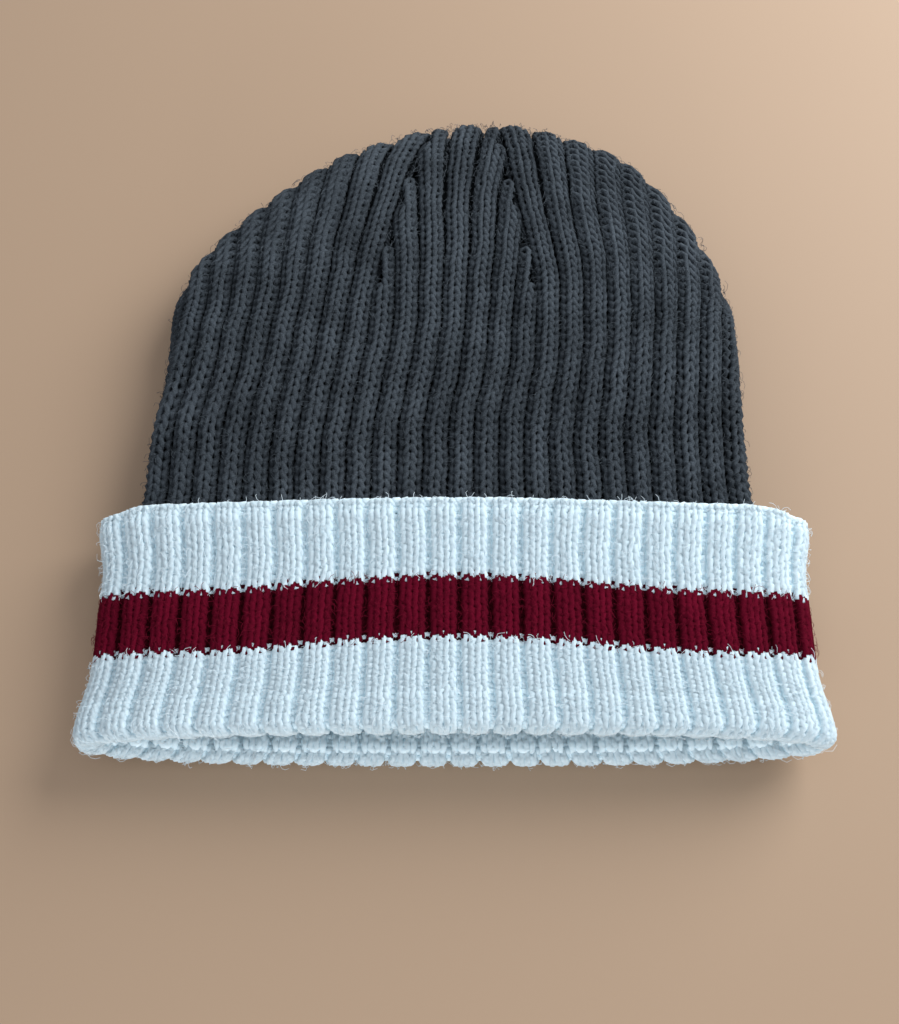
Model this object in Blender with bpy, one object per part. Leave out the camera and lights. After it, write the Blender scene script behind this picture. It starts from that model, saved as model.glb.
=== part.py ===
"""Ribbed knit beanie lying flat, with its striped cuff turned up.

Metres, +Z up off the table, +Y from the mouth to the tip. The origin is under the middle of the hat.
The hat is one knitted blank, linked into a tube by a back seam and drawn in by eight crown darts.
Every colour stretch, gore and seam of that blank is a closed solid of its own.

A point of the knit is found from three values:
  turn    share of the way round the ring, from the middle of the front, towards +X
  course  distance along the knit from the fold towards the tip
  depth   distance below the outer face of the layer
"""

import math

import bmesh
import bpy
import numpy as np

# Driving dimensions.
HAT_LENGTH = 0.238
KNIT_THICKNESS = 0.004
LAYER_GAP = 0.0005
JOINT_GAP = 0.0003

# Cuff, measured at its outer face.
CUFF_HALF_WIDTH = 0.1145
CUFF_HALF_THICKNESS = 0.0135
CUFF_TOP = 0.0800
RED_TOP = 0.0545
RED_BOTTOM = 0.0355
EDGE_RADIUS = 0.0020
FRONT_FOLD_RISE = 0.0066
FOLD_RISE_FADE = 0.0340

# How the cuff's courses sink on the table: all a little, more away from the middle, most at the top corners.
COURSE_DROP = 0.0010
SIDE_DROP = 0.0044
SIDE_DROP_SPAN = (0.005, 0.080)
DROP_START_SPAN = (0.0045, 0.032)
DROP_END_SPAN = (0.056, 0.080)
DROP_KEPT_AT_TOP = 0.3
CORNER_DROP = 0.0035
CORNER_SPAN = (0.096, 0.1145)

# Body under and above the cuff, measured at its outer face.
BAND_HALF_WIDTH = CUFF_HALF_WIDTH - KNIT_THICKNESS - LAYER_GAP
BAND_HALF_THICKNESS = CUFF_HALF_THICKNESS - KNIT_THICKNESS - LAYER_GAP
WHITE_TURN_IN = 0.0220
CROWN_HALF_WIDTH = 0.0997
DOME_HALF_WIDTH = 0.0975
CROWN_START = 0.0860
DOME_START = 0.1500
DOME_COURSES = 0.1250
DOME_HALF_THICKNESS = 0.0118
DOME_SAG = 0.0100
SHOULDER_PULL = 0.095
TIP_PULL = 0.16
TIP_PULL_SPAN = (math.radians(18), math.radians(40))
TABLE_CLEARANCE = 0.0008
TIP_HEIGHT = 0.0105

# How the crown lies: its pole folded over to the back, its tip to the right and its base to the left,
# and its knit turned a little.
POLE_TILT = math.radians(42)
ROW_SMILE = math.radians(16)
TIP_SHIFT = 0.0115
TIP_SHIFT_START = 0.1600
BASE_SHIFT = -0.0018
BASE_SHIFT_SPAN = (0.030, 0.080)
BASE_RETURN_SPAN = (0.100, 0.145)
CROWN_TURN = 0.013
CROWN_TURN_SPAN = (0.100, 0.180)
POLE_TURN = -0.046
POLE_TURN_SPAN = (0.175, 0.265)

# Seams.
GORES = ("front", "front_right", "right", "back_right", "back", "back_left", "left", "front_left")
RIBS = 48
GORE_RIBS = (7, 10, 4, 4, 6, 4, 4, 9)
FIRST_DART_RIB = -4
SEAM_WIDTH = 0.0018
DART_SEAM_RADIUS = 0.0008
BACK_SEAM_DART = 3
GATHER_RADIUS = 0.0090

# How finely the faces are divided.
RING_STEPS = 60
RING_SAMPLES = 1440
LATITUDE_STEPS = 400
SIDE_CROWDING = 0.7
WALL_ROWS = 10
STEPS_PER_RIB = 1.5
DOME_ROWS = 20
SEAM_SIDES = 8

GREY = (0.030, 0.036, 0.045, 1)
WHITE = (0.560, 0.680, 0.750, 1)
RED = (0.110, 0.004, 0.014, 1)
YARN_ROUGHNESS = 0.9

FOLD_RADIUS = (2 * KNIT_THICKNESS + LAYER_GAP) / 2
CUFF_MIDDLE_HEIGHT = CUFF_HALF_THICKNESS
TUBE_POWER = 3.0
DOME_PROFILE = 2 / 2.6
TIP_COURSE = DOME_START + DOME_COURSES - GATHER_RADIUS


def clear_scene():
    for obj in list(bpy.data.objects):
        bpy.data.objects.remove(obj)


def ease(value, start, end):
    """0 before start, 1 after end, and smooth between."""
    share = np.clip((value - start) / (end - start), 0.0, 1.0)
    return share * share * (3 - 2 * share)


def blend(a, b, share):
    return a + (b - a) * share


def superellipse(half_width, half_height, power, angles):
    """Points of a rounded flat ring, from the top of its front face round by +X."""
    across = np.sin(angles)
    rise = np.maximum(1 - np.abs(across) ** power, 0) ** (1 / power)
    return half_width * across, half_height * np.sign(np.cos(angles)) * rise


RING_ANGLES = np.linspace(0, 2 * math.pi, RING_SAMPLES + 1)


def cuff_ring(course, depth):
    """The cuff's ring of this course. The front fold stands a little short of the back one."""
    x, z = superellipse(CUFF_HALF_WIDTH - depth, CUFF_HALF_THICKNESS - depth, TUBE_POWER, RING_ANGLES)
    front = (1 + np.cos(RING_ANGLES)) / 2
    rise = FRONT_FOLD_RISE * max(0.0, 1 - course / FOLD_RISE_FADE)
    return np.stack([x, course + rise * front - cuff_drop(course, x), z + CUFF_MIDDLE_HEIGHT], axis=1)


def cuff_drop(course, x):
    """How far this course has sunk towards the mouth, at each place across the cuff."""
    started = ease(course, *DROP_START_SPAN)
    ended = ease(course, *DROP_END_SPAN)
    side = SIDE_DROP * blend(1, DROP_KEPT_AT_TOP, ended) * ease(np.abs(x), *SIDE_DROP_SPAN)
    corner = CORNER_DROP * ended * ease(np.abs(x), *CORNER_SPAN)
    return started * (COURSE_DROP + side) + corner


def tube_size(course):
    """Half width, half thickness, height of the middle and sag of the straight part of the body."""
    narrowing = ease(course, 0.02, CROWN_START)
    half_width = blend(BAND_HALF_WIDTH, CROWN_HALF_WIDTH, narrowing)
    half_width = blend(half_width, DOME_HALF_WIDTH, ease(course, CROWN_START, DOME_START))
    settling = ease(course, CROWN_START - 0.004, CROWN_START + 0.034)
    bottom = blend(CUFF_MIDDLE_HEIGHT - BAND_HALF_THICKNESS, TABLE_CLEARANCE, settling)
    dome_top = TABLE_CLEARANCE + 2 * DOME_HALF_THICKNESS
    top = blend(CUFF_MIDDLE_HEIGHT + BAND_HALF_THICKNESS, dome_top, ease(course, CROWN_START, DOME_START))
    sag = DOME_SAG * ease(course, CROWN_START, DOME_START)
    return half_width, (top - bottom) / 2, (top + bottom) / 2, sag


def body_ring(course, depth):
    """The body's ring of this course: a straight tube, then a dome that closes at its pole."""
    if course <= DOME_START:
        half_width, half_thickness, height, sag = tube_size(course)
        x, z = superellipse(half_width - depth, half_thickness - depth, TUBE_POWER, RING_ANGLES)
        y = course - sag * (1 - (x / (half_width - depth)) ** 2)
        ring = np.stack([x, y, z + height], axis=1)
    else:
        latitude = np.interp(course - DOME_START, FRONT_LENGTHS, LATITUDES)
        ring = dome_points(latitude, RING_ANGLES, depth)
    ring[:, 0] += TIP_SHIFT * ease(ring[:, 1], TIP_SHIFT_START, HAT_LENGTH)
    ring[:, 0] += BASE_SHIFT * ease(course, *BASE_SHIFT_SPAN) * (1 - ease(course, *BASE_RETURN_SPAN))
    return turned(ring, knit_turn(course))


def dome_points(latitude, angles, depth):
    """Points of the dome's row at this latitude, which is a quarter turn at its start and 0 at its pole.

    Each is found on a ball that stands for the dome, then placed on the flattened dome.
    The rows lean back towards a pole behind the tip, and their sides rise nearer the tip than their middles.
    """
    tilt = POLE_TILT * (1 - latitude / (math.pi / 2)) ** 2
    ball_x = math.sin(latitude) * np.sin(angles)
    ball_z = math.sin(latitude) * np.cos(angles)
    towards_tip = math.cos(latitude) * math.cos(tilt) + ball_z * math.sin(tilt)
    upward = ball_z * math.cos(tilt) - math.cos(latitude) * math.sin(tilt)
    from_axis = np.maximum(np.hypot(ball_x, upward), 1e-9)
    across = ball_x / from_axis
    lean = np.arctan2(from_axis, towards_tip)
    lean = lean - ROW_SMILE * across**2 * np.sin(2 * lean)

    size, reach = np.sin(lean), np.cos(lean)
    length = HAT_LENGTH - DOME_START
    pull = SHOULDER_PULL * np.sin(2 * lean) ** 2 + TIP_PULL * (1 - ease(lean, *TIP_PULL_SPAN))
    half_width = (DOME_HALF_WIDTH - depth) * size * (1 - pull)
    half_thickness = (DOME_HALF_THICKNESS - depth) * size**DOME_PROFILE
    power = blend(2.0, TUBE_POWER, size)
    rise = np.maximum(1 - np.abs(across) ** power, 0) ** (1 / power)
    side = DOME_START + (length - depth) * reach
    centre = DOME_START - DOME_SAG + (length + DOME_SAG - depth) * np.maximum(reach, 0) ** DOME_PROFILE
    y = side - (side - centre) * np.maximum(1 - across**2, 0) ** (0.5 + 0.5 * size**2)
    height = blend(TIP_HEIGHT, TABLE_CLEARANCE + DOME_HALF_THICKNESS, size)
    return np.stack([half_width * across, y, height + np.sign(upward) * half_thickness * rise], axis=-1)


def front_table():
    """Latitudes of the dome, and how far from its start each lies along the middle of the front."""
    latitudes = np.linspace(math.pi / 2, 0, LATITUDE_STEPS)
    middle = np.array([dome_points(latitude, 0.0, 0.0) for latitude in latitudes])
    lengths = np.concatenate([[0], np.cumsum(np.linalg.norm(np.diff(middle, axis=0), axis=1))])
    return lengths * DOME_COURSES / lengths[-1], latitudes


FRONT_LENGTHS, LATITUDES = front_table()


def knit_turn(course):
    """How far round the knit has turned at this course, as a share of the ring."""
    return CROWN_TURN * ease(course, *CROWN_TURN_SPAN) + POLE_TURN * ease(course, *POLE_TURN_SPAN)


def turned(ring, share):
    """The same ring, begun this share of its length further round."""
    if share == 0:
        return ring
    return ring_points(ring, np.linspace(0, 1, RING_SAMPLES + 1) + share)


def ring_length(ring):
    return np.linalg.norm(np.diff(ring, axis=0), axis=1).sum()


def ring_points(ring, turns):
    """Points of the ring at these shares of its length."""
    steps = np.linalg.norm(np.diff(ring, axis=0), axis=1)
    along = np.concatenate([[0], np.cumsum(steps)]) / steps.sum()
    turns = np.mod(np.asarray(turns), 1.0)
    return np.stack([np.interp(turns, along, ring[:, i]) for i in range(3)], axis=1)


def on_ring(ring, turns):
    """The same points in the world, where the origin is under the middle of the hat."""
    return ring_points(ring, turns) - np.array([0, HAT_LENGTH / 2, 0])


def crowded_turns(start, end, steps):
    """Turns from start to end, closer together where the ring folds round its sides."""
    even = np.linspace(-1.5, 2.5, 2001)
    crowded = even + SIDE_CROWDING * np.sin(4 * math.pi * even) / (4 * math.pi)
    first, last = np.interp([start, end], crowded, even)
    return np.interp(np.linspace(first, last, steps + 1), even, crowded)


def yarn_material(name, colour):
    material = bpy.data.materials.new(name)
    material.use_nodes = True
    shader = material.node_tree.nodes["Principled BSDF"]
    shader.inputs["Base Color"].default_value = colour
    shader.inputs["Roughness"].default_value = YARN_ROUGHNESS
    shader.inputs["Metallic"].default_value = 0.0
    return material


def add_solid(name, points, faces, colour):
    """One closed solid with its faces outwards, smooth except at its rims."""
    mesh = bpy.data.meshes.new(name)
    mesh.from_pydata([tuple(point) for point in points], [], faces)
    shaper = bmesh.new()
    shaper.from_mesh(mesh)
    bmesh.ops.recalc_face_normals(shaper, faces=shaper.faces)
    shaper.to_mesh(mesh)
    shaper.free()
    mesh.shade_smooth()
    mesh.set_sharp_from_angle(angle=math.radians(50))
    mesh.materials.append(yarn_material(name, colour))
    obj = bpy.data.objects.new(name, mesh)
    bpy.context.scene.collection.objects.link(obj)
    return obj


def swept(name, sections, closed, colour):
    """A solid through equal closed sections, joined end to end or capped at both ends."""
    count = len(sections[0])
    points = np.concatenate(sections)
    faces = []
    joins = len(sections) if closed else len(sections) - 1
    for step in range(joins):
        first = step * count
        second = (step + 1) % len(sections) * count
        for corner in range(count):
            after = (corner + 1) % count
            faces.append((first + corner, first + after, second + after, second + corner))
    if not closed:
        faces += cap_faces(0, count) + cap_faces(joins * count, count)
    return add_solid(name, points, faces, colour)


def cap_faces(first, count):
    """An end cap as a strip between the two sides of its section, so that it bends with the seam."""
    faces = []
    for corner in range((count - 1) // 2):
        strip = (corner, corner + 1, count - 2 - corner, count - 1 - corner)
        faces.append(tuple(first + index for index in dict.fromkeys(strip)))
    return faces


def gore_turns(index):
    """Where round the ring a gore starts and ends. The front gore is the first one."""
    turns = (FIRST_DART_RIB + np.cumsum([0, *GORE_RIBS])) / RIBS
    return turns[index], turns[index + 1]


def seam_turn():
    """Where the back seam runs: on one of the darts of the back."""
    return gore_turns(BACK_SEAM_DART)[1]


def open_ring(name, ring_at, outline, colour):
    """A band round the hat, open at the back seam. The outline lists its (course, depth) corners."""
    corners = []
    for course, depth in outline:
        ring = ring_at(course, depth)
        margin = (SEAM_WIDTH / 2 + JOINT_GAP) / ring_length(ring)
        turns = crowded_turns(seam_turn() + margin, seam_turn() + 1 - margin, RING_STEPS)
        corners.append(on_ring(ring, turns))
    sections = list(np.stack(corners, axis=1))
    return swept(name, sections, False, colour)


def band_outline(bottom, top, rows):
    """The corners of a plain band's section, up its outer face and down its inner one."""
    courses = list(np.linspace(bottom, top, rows + 1))
    outer = [(course, 0.0) for course in courses]
    inner = [(course, KNIT_THICKNESS) for course in reversed(courses)]
    return outer + inner


def folded_outline(top, rows, fold_steps):
    """A band's section that turns in at the fold, as far as the body's band."""
    courses = list(np.linspace(top, FOLD_RADIUS, rows + 1))
    outer = [(course, 0.0) for course in courses]
    turn = []
    for step in range(1, fold_steps + 1):
        angle = math.pi * step / fold_steps
        turn.append((FOLD_RADIUS * (1 - math.sin(angle)), FOLD_RADIUS * (1 - math.cos(angle))))
    end = 2 * FOLD_RADIUS - KNIT_THICKNESS
    crease = (FOLD_RADIUS, (KNIT_THICKNESS + end) / 2)
    inner = [(course, KNIT_THICKNESS) for course in reversed(courses[:-1])]
    return outer + turn + [(FOLD_RADIUS, end), crease] + inner


def seam_strip(name, ring_at, courses, colour):
    """The linked seam that fills the opening of a band."""
    sections = []
    for course in courses:
        section = []
        for depth, way in ((JOINT_GAP, 1), (KNIT_THICKNESS - JOINT_GAP, -1)):
            ring = ring_at(course, depth)
            margin = way * SEAM_WIDTH / 2 / ring_length(ring)
            section.append(on_ring(ring, [seam_turn() - margin, seam_turn() + margin]))
        sections.append(np.concatenate(section))
    return swept(name, sections, False, colour)


def add_cuff():
    open_ring("cuff_lower_white_band", cuff_ring, folded_outline(RED_BOTTOM - JOINT_GAP, 3, 6), WHITE)
    open_ring("cuff_red_stripe", cuff_ring, band_outline(RED_BOTTOM, RED_TOP, 2), RED)
    edge_bottom = CUFF_TOP - 2 * EDGE_RADIUS
    upper = band_outline(RED_TOP + JOINT_GAP, edge_bottom - JOINT_GAP, 2)
    open_ring("cuff_upper_white_band", cuff_ring, upper, WHITE)
    seam_courses = np.linspace(FOLD_RADIUS + JOINT_GAP, edge_bottom - JOINT_GAP, 5)
    seam_strip("cuff_back_seam", cuff_ring, seam_courses, WHITE)
    add_cuff_edge()


def add_cuff_edge():
    """The round tubular edge where the knitting was begun."""
    turns = crowded_turns(0, 1, RING_STEPS)[:-1]
    corners = []
    for side in range(SEAM_SIDES):
        angle = 2 * math.pi * side / SEAM_SIDES
        course = CUFF_TOP - EDGE_RADIUS * (1 - math.cos(angle))
        depth = EDGE_RADIUS * (1 - math.sin(angle))
        corners.append(on_ring(cuff_ring(course, depth), turns))
    swept("cuff_tubular_edge", list(np.stack(corners, axis=1)), True, WHITE)


def add_body_tube():
    band_start = FOLD_RADIUS + JOINT_GAP
    lifted = inner_band_ring
    open_ring("inner_white_band", lifted, band_outline(band_start, WHITE_TURN_IN, 2), WHITE)
    wall_start = WHITE_TURN_IN + JOINT_GAP
    open_ring("crown_side_wall", lifted, band_outline(wall_start, DOME_START, WALL_ROWS), GREY)
    seam_courses = [band_start, *np.linspace(wall_start, DOME_START, WALL_ROWS + 1)]
    seam_strip("crown_back_seam", lifted, seam_courses, GREY)


def inner_band_ring(course, depth):
    """The body's ring, raised at the front near the mouth with the fold that it turns into."""
    ring = body_ring(course, depth)
    front = (1 + np.cos(RING_ANGLES)) / 2
    ring[:, 1] += FRONT_FOLD_RISE * max(0.0, 1 - course / FOLD_RISE_FADE) * front
    return ring


def gore_courses():
    return np.linspace(DOME_START + JOINT_GAP, TIP_COURSE, DOME_ROWS + 1)


def add_gore(index, title):
    """One wedge of the dome, between two darts."""
    start, end = gore_turns(index)
    steps = round(STEPS_PER_RIB * GORE_RIBS[index])
    sections = []
    for course in gore_courses():
        faces = []
        for depth in (0.0, KNIT_THICKNESS):
            ring = body_ring(course, depth)
            margin = (DART_SEAM_RADIUS + JOINT_GAP) / ring_length(ring)
            faces.append(on_ring(ring, crowded_turns(start + margin, end - margin, steps)))
        outer, inner = faces
        sections.append(np.concatenate([outer, inner[::-1]]))
    return swept(f"crown_gore_{title}", sections, False, GREY)


def add_dart_seam(index):
    """The linked seam between a gore and the next one, halfway through the knit."""
    turn = gore_turns(index)[1]
    sections = []
    for course in gore_courses():
        beside = DART_SEAM_RADIUS / ring_length(body_ring(course, 0.0))
        outer = on_ring(body_ring(course, 0.0), [turn, turn + beside])
        inner = on_ring(body_ring(course, KNIT_THICKNESS), [turn, turn + beside])
        centre, nearby = (outer + inner) / 2
        outward = outer[0] - inner[0]
        outward *= DART_SEAM_RADIUS / np.linalg.norm(outward)
        sideways = nearby - centre
        sideways *= DART_SEAM_RADIUS / np.linalg.norm(sideways)
        angles = 2 * math.pi * np.arange(SEAM_SIDES)[:, None] / SEAM_SIDES
        sections.append(centre + np.cos(angles) * outward + np.sin(angles) * sideways)
    return swept(f"dart_seam_{index + 1}", sections, False, GREY)


def add_tip_gather():
    """The drawn-up plug of yarn that closes the dome where the gores end."""
    turns = np.linspace(0, 1, 2 * SEAM_SIDES, endpoint=False)
    points = []
    for depth in (JOINT_GAP, KNIT_THICKNESS - JOINT_GAP):
        ring = on_ring(body_ring(TIP_COURSE, depth), turns)
        centre = ring.mean(axis=0)
        radii = np.linalg.norm(ring - centre, axis=1, keepdims=True)
        points.append(centre + (ring - centre) * (1 - 2 * JOINT_GAP / radii))
    return swept("tip_gather", points, False, GREY)


def main():
    clear_scene()
    add_cuff()
    add_body_tube()
    for index, title in enumerate(GORES):
        add_gore(index, title)
    for index in range(len(GORES)):
        add_dart_seam(index)
    add_tip_gather()


main()
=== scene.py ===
"""Ribbed knit beanie lying flat, with its striped cuff turned up, knitted stitch by stitch.

Every row of the hat is a run of yarn that is looped through the knit, in a two by two rib.
The rows lie on the same surfaces as the CAD solids that they stand for:
  turn    share of the way round the ring, from the middle of the front, towards +X
  course  distance along the knit from the fold towards the pole, in metres
  lift    distance out from the middle of the knit's thickness
"""

import math

import bpy
import numpy as np
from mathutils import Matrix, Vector


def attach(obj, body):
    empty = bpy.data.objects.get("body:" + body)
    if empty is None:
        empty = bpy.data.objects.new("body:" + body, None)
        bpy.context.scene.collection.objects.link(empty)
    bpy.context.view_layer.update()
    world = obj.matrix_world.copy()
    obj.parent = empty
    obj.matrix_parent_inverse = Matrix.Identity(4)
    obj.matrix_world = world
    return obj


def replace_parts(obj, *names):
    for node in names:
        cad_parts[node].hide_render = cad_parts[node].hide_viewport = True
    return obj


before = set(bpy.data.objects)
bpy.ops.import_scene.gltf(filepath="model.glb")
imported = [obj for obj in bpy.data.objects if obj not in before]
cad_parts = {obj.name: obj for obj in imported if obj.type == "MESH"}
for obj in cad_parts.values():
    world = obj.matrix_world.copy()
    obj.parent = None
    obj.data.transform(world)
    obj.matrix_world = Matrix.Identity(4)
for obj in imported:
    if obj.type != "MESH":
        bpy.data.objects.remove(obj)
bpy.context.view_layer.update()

# Camera.
LENS = 38.67
SENSOR = 36.0
CLIP_START = 0.01
CAMERA_PLACE = (-0.0012, -0.1737, 0.3427)
CAMERA_PITCH = math.radians(22.2)

# The hat's shape, as in the CAD.
HAT_LENGTH = 0.238
KNIT_THICKNESS = 0.004
LAYER_GAP = 0.0005
JOINT_GAP = 0.0003
CUFF_HALF_WIDTH = 0.1145
CUFF_HALF_THICKNESS = 0.0135
CUFF_TOP = 0.0800
RED_TOP = 0.0545
RED_BOTTOM = 0.0355
EDGE_HEIGHT = 0.0040
FRONT_FOLD_RISE = 0.0066
FOLD_RISE_FADE = 0.0340

# How the cuff is drawn in between its fold and its edge, and how its courses sink on the table.
WAIST_EVERYWHERE = 0.0008
WAIST = 0.0034
WAIST_START_SPAN = (0.0, 0.035)
WAIST_END_SPAN = (0.060, 0.080)
WAIST_KEPT_AT_TOP = 0.1
COURSE_DROP = 0.0010
SIDE_DROP = 0.0044
SIDE_DROP_SPAN = (0.005, 0.080)
DROP_START_SPAN = (0.0045, 0.032)
DROP_END_SPAN = (0.056, 0.080)
DROP_KEPT_AT_TOP = 0.3
CORNER_DROP = 0.0035
CORNER_SPAN = (0.096, 0.1145)
BAND_HALF_WIDTH = CUFF_HALF_WIDTH - KNIT_THICKNESS - LAYER_GAP
BAND_HALF_THICKNESS = CUFF_HALF_THICKNESS - KNIT_THICKNESS - LAYER_GAP
SNUG_AHEAD = 1.25
WHITE_TURN_IN = 0.0220

# The body: a tube that narrows inside the cuff and settles on the table above it, then the dome.
CROWN_HALF_WIDTH = 0.0997
DOME_HALF_WIDTH = 0.0975
NARROWING_START = 0.0200
CROWN_START = 0.0860
SETTLING_SPAN = (CROWN_START - 0.004, CROWN_START + 0.034)
DOME_START = 0.1500
DOME_COURSES = 0.1250
DOME_HALF_THICKNESS = 0.0118
DOME_SAG = 0.0100
SHOULDER_PULL = 0.095
TIP_PULL = 0.16
TIP_PULL_SPAN = (math.radians(18), math.radians(40))
TABLE_CLEARANCE = 0.0008
TIP_HEIGHT = 0.0105
TUBE_POWER = 3.0
DOME_PROFILE = 2 / 2.6
FOLD_RADIUS = (2 * KNIT_THICKNESS + LAYER_GAP) / 2
TIP_COURSE = DOME_START + DOME_COURSES - 0.0090

# How the crown lies: its pole folded over to the back, its tip to the right, its knit turned a little.
POLE_TILT = math.radians(42)
ROW_SMILE = math.radians(16)
TIP_SHIFT = 0.0115
TIP_SHIFT_START = 0.1600
BASE_SHIFT = -0.0018
BASE_SHIFT_SPAN = (0.030, 0.080)
BASE_RETURN_SPAN = (0.100, 0.145)
CROWN_TURN = 0.013
CROWN_TURN_SPAN = (0.100, 0.180)
POLE_TURN = -0.046
POLE_TURN_SPAN = (0.175, 0.265)

# Ribs and darts.
RIBS = 48
GORES = ("front", "front_right", "right", "back_right", "back", "back_left", "left", "front_left")
GORE_RIBS = (7, 10, 4, 4, 6, 4, 4, 9)
FIRST_DART_RIB = -4
DART_START = 0.1670
DART_SOFTNESS = 0.12
BACK_SEAM_TURN = 7 / 16
CUFF_RIB_PHASE = 0.17
BAND_RIB_PHASE = -0.33
BAND_PHASE_END = 0.0800

# Rows of stitches: their height, and how many each band of the cuff has.
CUFF_ROW = 0.00240
CROWN_ROW = 0.00310
UPPER_ROWS = 9
RED_ROWS = 8
LOWER_ROWS = 9
FOLD_ROWS = 7
INNER_ROWS = 7
EDGE_BEAD_PLACE = 0.45
WALL_PIECES = 4

# A stitch. Lengths round the ring are shares of a rib, lengths along the knit are shares of a row.
#   spread  half the width of a column of stitches
#   rise    half the height of a loop
#   lean    how far a loop's legs lean in at its neck
#   lift    how far the rib's face stands out from the middle of the knit, in metres
#   bulge   how far a loop's legs stand out beyond its ends, in metres
#   round   how far the rib's face falls away towards its sides, in metres
#   way     1 where the loops point away from the mouth, -1 where they point towards it
CUFF_STITCH = dict(spread=0.196, rise=1.00, lean=0.185, lift=0.00095, bulge=0.00018, round=0.0011, way=-1)
BAND_STITCH = dict(CUFF_STITCH, way=1)
EDGE_STITCH = dict(CUFF_STITCH, rise=0.80)
EDGE_BEAD_STITCH = dict(CUFF_STITCH, rise=0.34, lift=0.0006, bulge=0.0007)
HIDDEN_STITCH = dict(spread=0.235, rise=0.85, lean=0.20, lift=0.00090, bulge=0.00030, round=0.0008, way=1)
CROWN_STITCH = dict(spread=0.237, rise=0.86, lean=0.25, lift=0.00200, bulge=0.00045, round=0.0036, way=1)
TOP_STITCH = dict(spread=0.208, rise=0.92, lean=0.17, lift=0.00225, bulge=0.00040, round=0.0030, way=1)
HIDDEN_SPAN = (0.058, 0.072)
TOP_SPAN = (0.165, 0.215)
ROUND_POWER = 3.5
STITCH_JITTER = 0.042
LEAN_JITTER = 2.0
ACROSS_JITTER = 0.3

# Yarn, and how deep the middle of each layer of knit lies under its outer face.
CUFF_YARN = 0.00120
CROWN_YARN = 0.00102
STITCH_SAMPLES = 8
YARN_SIDES = 6
CUFF_MIDDLE_DEPTH = 0.0018
BODY_MIDDLE_DEPTH = 0.0030

# The crease at a dart, and how far inside the dart's line a column has to lie to be kept.
DART_DIP = 0.0010
DART_DIP_WIDTH = 0.30
DIP_START_LENGTH = 0.01
KEPT_SIDE_DIP = 0.5
COLUMN_MARGIN = 0.5

# The waves in which the ribs wander sideways: length along the knit, waves round the hat,
# amount in ribs and start.
WANDERS = ((0.047, 3, 0.018, 1.1), (0.031, -5, 0.018, 0.4), (0.019, 11, 0.014, 2.0))
CUFF_WANDER = 0.4
SEED = 7

# Seams: two strands twisted round each other. The gather: loops drawn together at the pole.
SEAM_YARN = 0.0006
SEAM_TWIST = 0.0006
SEAM_TWIST_TURN = 0.0012
CUFF_SEAM_LIFT = 0.0002
DART_SEAM_LIFT = -0.0010
GATHER_LOOPS = 16
GATHER_SAMPLES = 9
GATHER_OVERLAP = 0.0020
GATHER_LENGTH = 0.0095
GATHER_SWAY = 0.010
GATHER_RISE = 0.0012
GATHER_SINK = 0.0010
GATHER_TAPER = 0.6

# Loose fibres.
FIBRE_LENGTHS = (0.0010, 0.0034)
FIBRE_RISE = 0.45
FIBRE_ARCH = 0.75 * math.pi
FIBRE_BEND = 0.8
FIBRE_POINTS = 4
FIBRE_RADIUS = 0.000065
FIBRE_RIDGE = 1.5 * FIBRE_RADIUS
FIBRE_HEIGHT = 0.002
WHITE_FIBRES = 5250
RED_FIBRES = 3500
GREY_FIBRES = 10500
CUFF_STAND = 0.0022
CROWN_STAND = 0.0033
CHANNEL_STAND = 0.2
FIBRE_ROOTS = (0.7, 1.0)
WALL_FUZZ_START = 0.070

# The lifts between which the painted shade and painted light on yarn deep in a channel fade: full at
# DEEP_LIFT, none at FACE_LIFT.
DEEP_LIFT = -0.0008
FACE_LIFT = 0.0016

# How finely the surfaces are read, and how far they reach past the last row.
RING_SAMPLES = 1440
RING_CROWDING = 0.85
LATITUDE_STEPS = 400
WALL_STEPS = 400
GRID_STEP = 0.0010
GRID_TURNS = 960
SURFACE_MARGIN = 0.002
POLE_MARGIN = 0.001
TINY = 1e-12

# Yarns: colour, how uneven the dye is, how much light glows through, how deep the relief of plies and
# fibres is, and the painted shade in the channels between ribs: the scale on the colour of yarn deep in a
# channel, below 1 painted shade for the red and grey, above 1 painted light for the white.
WHITE = dict(colour=(0.62, 0.735, 0.785, 1), unevenness=0.04, glow=0.3, relief=0.4, painted_channel_shade_and_light=1.3)
RED = dict(colour=(0.134, 0.0028, 0.0162, 1), unevenness=0.30, glow=0.0, relief=0.9, painted_channel_shade_and_light=0.30)
GREY = dict(colour=(0.054, 0.063, 0.073, 1), unevenness=0.65, glow=0.0, relief=1.0, painted_channel_shade_and_light=0.36)
WHITE_FIBRE = dict(colour=(0.80, 0.88, 0.92, 1), unevenness=0.04, glow=0.0, relief=0.4, painted_channel_shade_and_light=1.0)
RED_FIBRE = dict(colour=(0.150, 0.006, 0.020, 1), unevenness=0.30, glow=0.0, relief=0.4, painted_channel_shade_and_light=1.0)
GREY_FIBRE = dict(colour=(0.095, 0.108, 0.122, 1), unevenness=0.50, glow=0.0, relief=0.4, painted_channel_shade_and_light=1.0)
YARN_ROUGHNESS = 0.95
YARN_SPECULAR = 0.05
YARN_SHEEN = 0.06
YARN_SHEEN_ROUGHNESS = 0.6
GLOW_RADIUS = (1.0, 0.9, 0.85)
GLOW_SCALE = 0.0015
PLY_STRETCH = (420, 2, 1)
PLY_SCALE = 0.5
PLY_DISTORTION = 1.5
FIBRE_NOISE_SCALE = 2600
FIBRE_NOISE_DETAIL = 4
PATCH_NOISE_SCALE = 60
PATCH_NOISE_DETAIL = 2
FIBRE_SHARE_OF_RELIEF = 0.55
PATCH_SHARE_OF_SHADE = 0.4
RELIEF_DISTANCE = 0.0005
SHADE_SPAN = (0.3, 0.7)

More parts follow.
